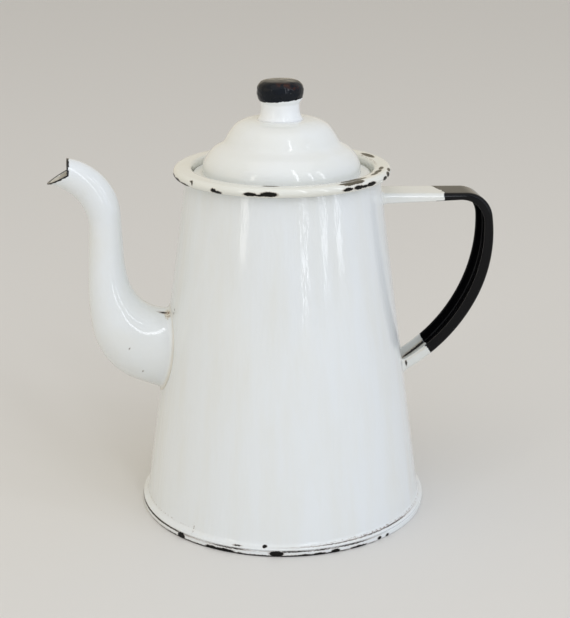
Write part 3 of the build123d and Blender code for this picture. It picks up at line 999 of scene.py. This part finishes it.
def dipped(name, white, yellowed, black, reach, ragged, marks=(), filled=(), rubbed=(), lumpy=0.0):
    """White enamel whose surface turns black where reach, in millimetres, is above nought.

    Noise moves the edge of the black by up to three times ragged to either side. Ovals where it
    is rubbed show through brown in patches. lumpy is the depth of its lumps in millimetres."""
    material = enamel(name, white, yellowed, marks, filled=filled, drained=False)
    tree = material.node_tree
    shader = tree.nodes["Principled BSDF"]
    coat = shader.inputs["Base Color"].links[0].from_socket
    normal = shader.inputs["Normal"].links[0].from_socket
    here = node(tree, "TexCoord").outputs["Object"]
    unrolled = node(tree, "UVMap", uv_map="unrolled")
    grain = node(tree, "TexNoise", {"Vector": here, "Scale": 1 / (dip_pitch * MM), "Detail": 4.0})
    inwards = {0: grain, 1: 6 * ragged, 2: reach(tree, here, unrolled)}
    broken = node(tree, "Math", inwards, operation="MULTIPLY_ADD")
    edge_span = {"From Min": 3 * ragged, "From Max": 3 * ragged + 0.12}
    worn_span = {"From Min": 2.6 * ragged, "From Max": 3 * ragged}
    edge = node(tree, "MapRange", {"Value": broken, **edge_span})
    worn = node(tree, "MapRange", {"Value": broken, **worn_span})
    rim = node(tree, "Mix", {0: worn, 6: coat, 7: linear(worn_blue)}, data_type="RGBA")
    dip = linear(black)
    if rubbed:
        gap = marks_distance(tree, unrolled, rubbed)
        near = node(tree, "MapRange", {"Value": gap, **rubbed_outline})
        patches = node(tree, "MapRange", {"Value": grain, **rubbed_patches})
        amount = node(tree, "Math", {0: near, 1: patches}, operation="MULTIPLY")
        dip = node(tree, "Mix", {0: amount, 6: dip, 7: linear(rubbed_brown)}, data_type="RGBA")
    colour = node(tree, "Mix", {0: edge, 6: rim, 7: dip}, data_type="RGBA")
    raised = node(tree, "Bump", {"Height": edge, "Distance": dip_depth * MM, "Normal": normal})
    if lumpy:
        lumps = node(tree, "TexNoise", {"Vector": here, "Scale": 1 / (lump_pitch * MM), "Detail": 1.0})
        over = node(tree, "Math", {0: lumps, 1: edge}, operation="MULTIPLY")
        raised = node(tree, "Bump", {"Height": over, "Distance": lumpy * MM, "Normal": raised})
    mirror = node(tree, "MapRange", {"Value": edge, **black_mirror})
    tree.links.new(mirror.outputs[0], shader.inputs["Specular IOR Level"])
    tree.links.new(colour.outputs[2], shader.inputs["Base Color"])
    tree.links.new(raised.outputs[0], shader.inputs["Normal"])
    return material


def along_grip(tree, here, unrolled):
    """How far a point lies inside the dipped stretch of the handle, along its length.

    The start runs aslant across the back, and lies further on at the near side."""
    across, along = node(tree, "SeparateXYZ", {0: unrolled}).outputs[:2]
    slant = {"From Min": 8.0, "From Max": -18.0, "To Min": dip_start, "To Max": dip_start + dip_slant}
    start = node(tree, "MapRange", {"Value": across, **slant})
    after = node(tree, "Math", {0: along, 1: start}, operation="SUBTRACT")
    before = node(tree, "Math", {0: dip_end, 1: along}, operation="SUBTRACT")
    return node(tree, "Math", {0: after, 1: before}, operation="MINIMUM")


# Near the lower root, tan dirt and a long dark chip lie in the hollow, and a small chip outside
far_corner = across_walk[hollow_middle - 10]
near_corner = across_walk[hollow_middle + 11]
handle_marks = [(far_corner, 153.0, 0.7, 9.5), (-13.0, 163.6, 0.9, 0.45)]
handle_filled = [
    (far_corner, 150.0, 1.3, 12.0),
    (near_corner, 150.0, 1.0, 12.0),
    (across_walk[0], 148.0, 0.5, 14.0),
]
grip_enamel = dipped(
    "black_enamel_of_the_grip",
    handle_white,
    handle_yellowed,
    black_enamel,
    along_grip,
    0.8,
    handle_marks,
    handle_filled,
)
handle = surface("handle_enamelled", strap_points, strap_unrolled, "pot", grip_enamel, ends=partner)
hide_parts("handle_strap")

# Lid dome
# One pressing in two tiers with a flat brim, enamelled the whitest of all.
# Its brim has a thin dark chip in front, and it sits a little to the spout side of its recess.

lid_shift = -0.55
brim_radius = 44.6
brim_middle = 175.8
dome_wall_radius = 39.0
dome_outline = [(38.9, 180.4), (34.6, 187.4), (28.9, 191.4), (26.2, 195.6), (22.8, 199.8), (17.4, 202.3)]
crown_radius = 13.0
crown_middle = 202.6
vent_radius = 1.5
lid_white = "#E8EBEA"
lid_yellowed = "#E0DFD0"


def lid_shell(line, columns):
    """A sheet whose middle is a line turned about the lid's own axis, with its unrolled places.

    The distance walked starts at the profile's first point and is below nought on its end cap."""
    profile = sheet_profile(line)
    walked = lengths_round(profile)
    walked = np.where(walked > walked[-1] - 2 * sheet, walked - walked[-1], walked)
    points, unrolled = revolved(profile, all_round(columns), brim_radius, walked)
    return points + (lid_shift, 0, 0), unrolled


brim_line = trail(
    (brim_radius - sheet / 2, brim_middle),
    180,
    [(brim_radius - sheet / 2 - dome_wall_radius - bend_radius, 0), (quarter_bend, -90)],
    step=0.4,
)
dome_start = (dome_wall_radius, brim_middle + bend_radius)
crown_edge = (crown_radius, crown_middle)
dome_line = smooth_through([dome_start, *dome_outline, crown_edge], 8, (0, 1), (-1, 0))
crown_line = np.linspace(crown_edge, (vent_radius, crown_middle), 8)
dome_points, dome_unrolled = lid_shell(np.vstack([brim_line[:-1], dome_line[:-1], crown_line]), 480)
dome_marks = by_azimuth(brim_radius, [(-106.0, 0.0, 3.6, 0.3)])
# Brown speckled patches on the brim: partly wear, partly painted shade in the gap under the ring's inner
# edge
dome_stains_and_shade = by_azimuth(brim_radius, [(-60, 1.0, 30.0, 0.9), (-130, 0.8, 20.0, 0.6)])
lid_enamel = enamel(
    "white_enamel_of_the_lid", lid_white, lid_yellowed, dome_marks, dome_stains_and_shade, drained=False
)
lid_dome = surface("lid_dome_enamelled", dome_points, dome_unrolled, "lid", lid_enamel)
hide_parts("lid_dome")

# Lid skirt
# A ring flanged outwards and joined under the brim, which keeps the lid from sliding off.
# It is enamelled with the lid and chipped along its lower edge.

skirt_middle = 39.8
skirt_bottom = 163.6
skirt_flange = 174.6
skirt_yellowed = "#D8D5C4"
skirt_line = trail(
    (skirt_middle, skirt_bottom + sheet / 2),
    90,
    [
        (skirt_flange - bend_radius - skirt_bottom - sheet / 2, 0),
        (quarter_bend, -90),
        (brim_radius - sheet / 2 - skirt_middle - bend_radius, 0),
    ],
    step=0.4,
)
skirt_points, skirt_unrolled = lid_shell(skirt_line, 360)
skirt_chips = ((-150, 5.0), (-95, 3.0), (-40, 7.0), (20, 2.5), (60, 4.0))
skirt_marks = by_azimuth(brim_radius, [(azimuth, 0.0, half, 0.5) for azimuth, half in skirt_chips])
skirt_enamel = enamel(
    "white_enamel_of_the_skirt", lid_white, skirt_yellowed, skirt_marks, drained=False
)
lid_skirt = surface("lid_skirt_enamelled", skirt_points, skirt_unrolled, "lid", skirt_enamel)
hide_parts("lid_skirt")

# Knob
# A hollow pressing joined to the crown, white up its neck and dipped in black above it.
# The dip ran unevenly, so that the drum is lumpy, and it is worn brown on its front.

knob_shift = -1.2
neck_middle = 9.0
neck_foot = 203.2
neck_sunk = 0.3
neck_top = 210.6
drum_outline = [(10.1, 213.2), (10.8, 216.4), (10.3, 219.8), (8.8, 221.3)]
drum_bottom = 211.5
drum_reference = 10.0
top_radius = 6.8
top_middle = 221.85
top_rise = 0.35
lump_depth = 0.22
dip_thickness = 0.3
hollow_radius = 6.0
flare_share = 0.38
knob_white = "#F0F3F4"
knob_yellowed = "#ECECE4"
# The knob's black has a blue cast, which is a painted reflection of window light on its front
knob_black_and_painted_reflection = "#14181E"
knob_dip_height = 213.3
knob_dip_slope = 0.08
neck_line = np.linspace((neck_middle, neck_foot), (neck_middle, neck_top), 12)
neck_line[0, 1] -= neck_sunk
drum_ends = ((neck_middle, neck_top), (top_radius, top_middle))
drum_line = smooth_through([drum_ends[0], *drum_outline, drum_ends[1]], 12, (0, 1), (-1, 0.15))
top_across = np.linspace(top_radius, 0, 14)
top_line = np.stack([top_across, top_middle + top_rise * (1 - (top_across / top_radius) ** 2)], 1)
knob_middle_line = np.vstack([neck_line[:-1], drum_line[:-1], top_line])
right, _ = right_of(knob_middle_line)
knob_profile = np.vstack([(knob_middle_line - right)[::-1], knob_middle_line + right])
knob_profile[0, 0] = knob_profile[-1, 0] = 0.0
walked = lengths_along(knob_profile)
knob_points, knob_unrolled = revolved(knob_profile, all_round(240), drum_reference, walked)
# Lumps of the thick dip: a sum of slow waves round and up the drum, all pointing inwards
knob_angle = np.arctan2(knob_points[..., 1], knob_points[..., 0])
knob_height = knob_points[..., 2]
lumps = (
    np.sin(3 * knob_angle + 0.9 * knob_height)
    + 0.7 * np.sin(5 * knob_angle - 1.7 * knob_height + 1.0)
    + 0.5 * np.sin(9 * knob_angle + 2.6 * knob_height + 2.0)
)
off_axis = np.clip(np.hypot(knob_points[..., 0], knob_points[..., 1]) / 4, 0, 1)
on_drum = np.clip((knob_height - drum_bottom) / 2.0, 0, 1) * off_axis
squeeze = 1 + (dip_thickness - lump_depth * (0.5 - 0.22 * lumps)) * on_drum / drum_reference
# Enamel fills the corner at the neck's foot in a hollow curve
above_foot = np.clip((knob_height - neck_foot) / hollow_radius, 0, 1)
corner_fill = hollow_radius * (1 - np.sqrt(1 - (1 - above_foot) ** 2))
outside_neck = np.arange(len(knob_profile)) >= len(knob_middle_line)
squeeze += flare_share * corner_fill * outside_neck / neck_middle
knob_points[..., :2] *= squeeze[..., None]
knob_points[..., 0] += knob_shift


def up_knob(tree, here, unrolled):
    """How far a point lies above the dip's line on the knob, which rises towards the handle."""
    x, _, z = node(tree, "SeparateXYZ", {0: here}).outputs
    tilted = node(tree, "Math", {0: x, 1: -knob_dip_slope, 2: z}, operation="MULTIPLY_ADD")
    return node(tree, "Math", {0: tilted, 1: 1 / MM, 2: -knob_dip_height}, operation="MULTIPLY_ADD")


drum_top = walked[2 * len(knob_middle_line) - len(top_line)]
knob_rubbed = [(-88, drum_top - 3.0, 3.0, 1.6), (-60, drum_top - 4.5, 2.6, 1.2)]
knob_rubbed = by_azimuth(drum_reference, knob_rubbed)
knob_enamel = dipped(
    "black_enamel_of_the_knob",
    knob_white,
    knob_yellowed,
    knob_black_and_painted_reflection,
    up_knob,
    0.18,
    rubbed=knob_rubbed,
    lumpy=0.4,
)
lid_knob = surface(
    "lid_knob_enamelled", knob_points, knob_unrolled, "lid", knob_enamel, ends="poles"
)
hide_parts("lid_knob")

# Floor, lamps and camera
# The floor is a plain pale sheet. Narrow tall lamps stand like window panes in front, a wide
# one hangs above and a faint warm one fills from the spout's side. The room is a soft grey.

floor_half = 6.0
floor_pale = "#DEDDDA"
floor_mesh = bpy.data.meshes.new("floor")
floor_corners = [(x * floor_half, y * floor_half, 0.0) for x, y in ((-1, -1), (1, -1), (1, 1), (-1, 1))]
floor_mesh.from_pydata(floor_corners, [], [(0, 1, 2, 3)])
floor = bpy.data.objects.new("floor", floor_mesh)
bpy.context.scene.collection.objects.link(floor)
matt_floor, tree = new_material("pale_matt_floor")
matt = {"Base Color": linear(floor_pale), "Roughness": 0.75, "Specular IOR Level": 0.2}
node(tree, "OutputMaterial", {"Surface": node(tree, "BsdfPrincipled", matt)})
floor_mesh.materials.append(matt_floor)

aim_height = 0.11
pane_light = "#F4F8FF"


def lamp(name, azimuth, elevation, distance, size, power, colour):
    """A rectangular lamp aimed at the pot's middle, from an azimuth and elevation in degrees."""
    light = bpy.data.lights.new(name, "AREA")
    light.shape = "RECTANGLE"
    light.size, light.size_y = size
    light.energy = power
    light.color = linear(colour)[:3]
    made = bpy.data.objects.new(name, light)
    azimuth, elevation = math.radians(azimuth), math.radians(elevation)
    level = distance * math.cos(elevation)
    height = aim_height + distance * math.sin(elevation)
    made.location = (level * math.cos(azimuth), level * math.sin(azimuth), height)
    made.rotation_euler = (math.pi / 2 - elevation, 0, azimuth + math.pi / 2)
    bpy.context.scene.collection.objects.link(made)


lamp("pane_in_front", -74, 28, 1.6, (0.10, 1.9), 3.2, pane_light)
lamp("pane_beside_it", -52, 20, 1.7, (0.09, 1.4), 1.9, pane_light)
lamp("pane_on_the_handle_side", -34, 20, 1.7, (0.12, 1.4), 2.2, pane_light)
lamp("pane_on_the_spout_side", -139, 16, 1.7, (0.2, 1.0), 1.8, "#FFFBF0")
lamp("overhead_lamp", -100, 62, 2.4, (3.2, 2.6), 12, "#FFFFFF")
lamp("fill_lamp", -170, 18, 2.2, (1.2, 1.2), 2.0, "#FFECCC")

# The room's light is cool from the handle's side and warm from behind the spout
room_cool = "#EEF3FF"
room_warm = "#FFF4DE"
room_strength = 0.71
warm_way = (-0.7, 1.0, 0.0)
world = bpy.data.worlds.new("soft_room")
bpy.context.scene.world = world
world.use_nodes = True
tree = world.node_tree
way = node(tree, "TexCoord").outputs["Generated"]
towards = node(tree, "VectorMath", {0: way, 1: warm_way}, operation="DOT_PRODUCT")
warmth = node(tree, "MapRange", {"Value": towards, "From Min": -0.8, "From Max": 0.8})
room = node(tree, "Mix", {0: warmth, 6: linear(room_cool), 7: linear(room_warm)}, data_type="RGBA")
background = tree.nodes["Background"]
tree.links.new(room.outputs[2], background.inputs["Color"])
background.inputs["Strength"].default_value = room_strength

camera_pitch = 18.10
camera_turn = -7.0
camera_data = bpy.data.cameras.new("camera")
camera_data.lens = 80.68
camera_data.sensor_width = 36.0
camera_data.clip_start = 0.05
camera = bpy.data.objects.new("camera", camera_data)
camera.location = (-0.0821, -0.6783, 0.3270)
camera.rotation_euler = (math.radians(90 - camera_pitch), 0.0, math.radians(camera_turn))
bpy.context.scene.collection.objects.link(camera)
bpy.context.scene.camera = camera
bpy.context.scene.view_settings.view_transform = "Standard"
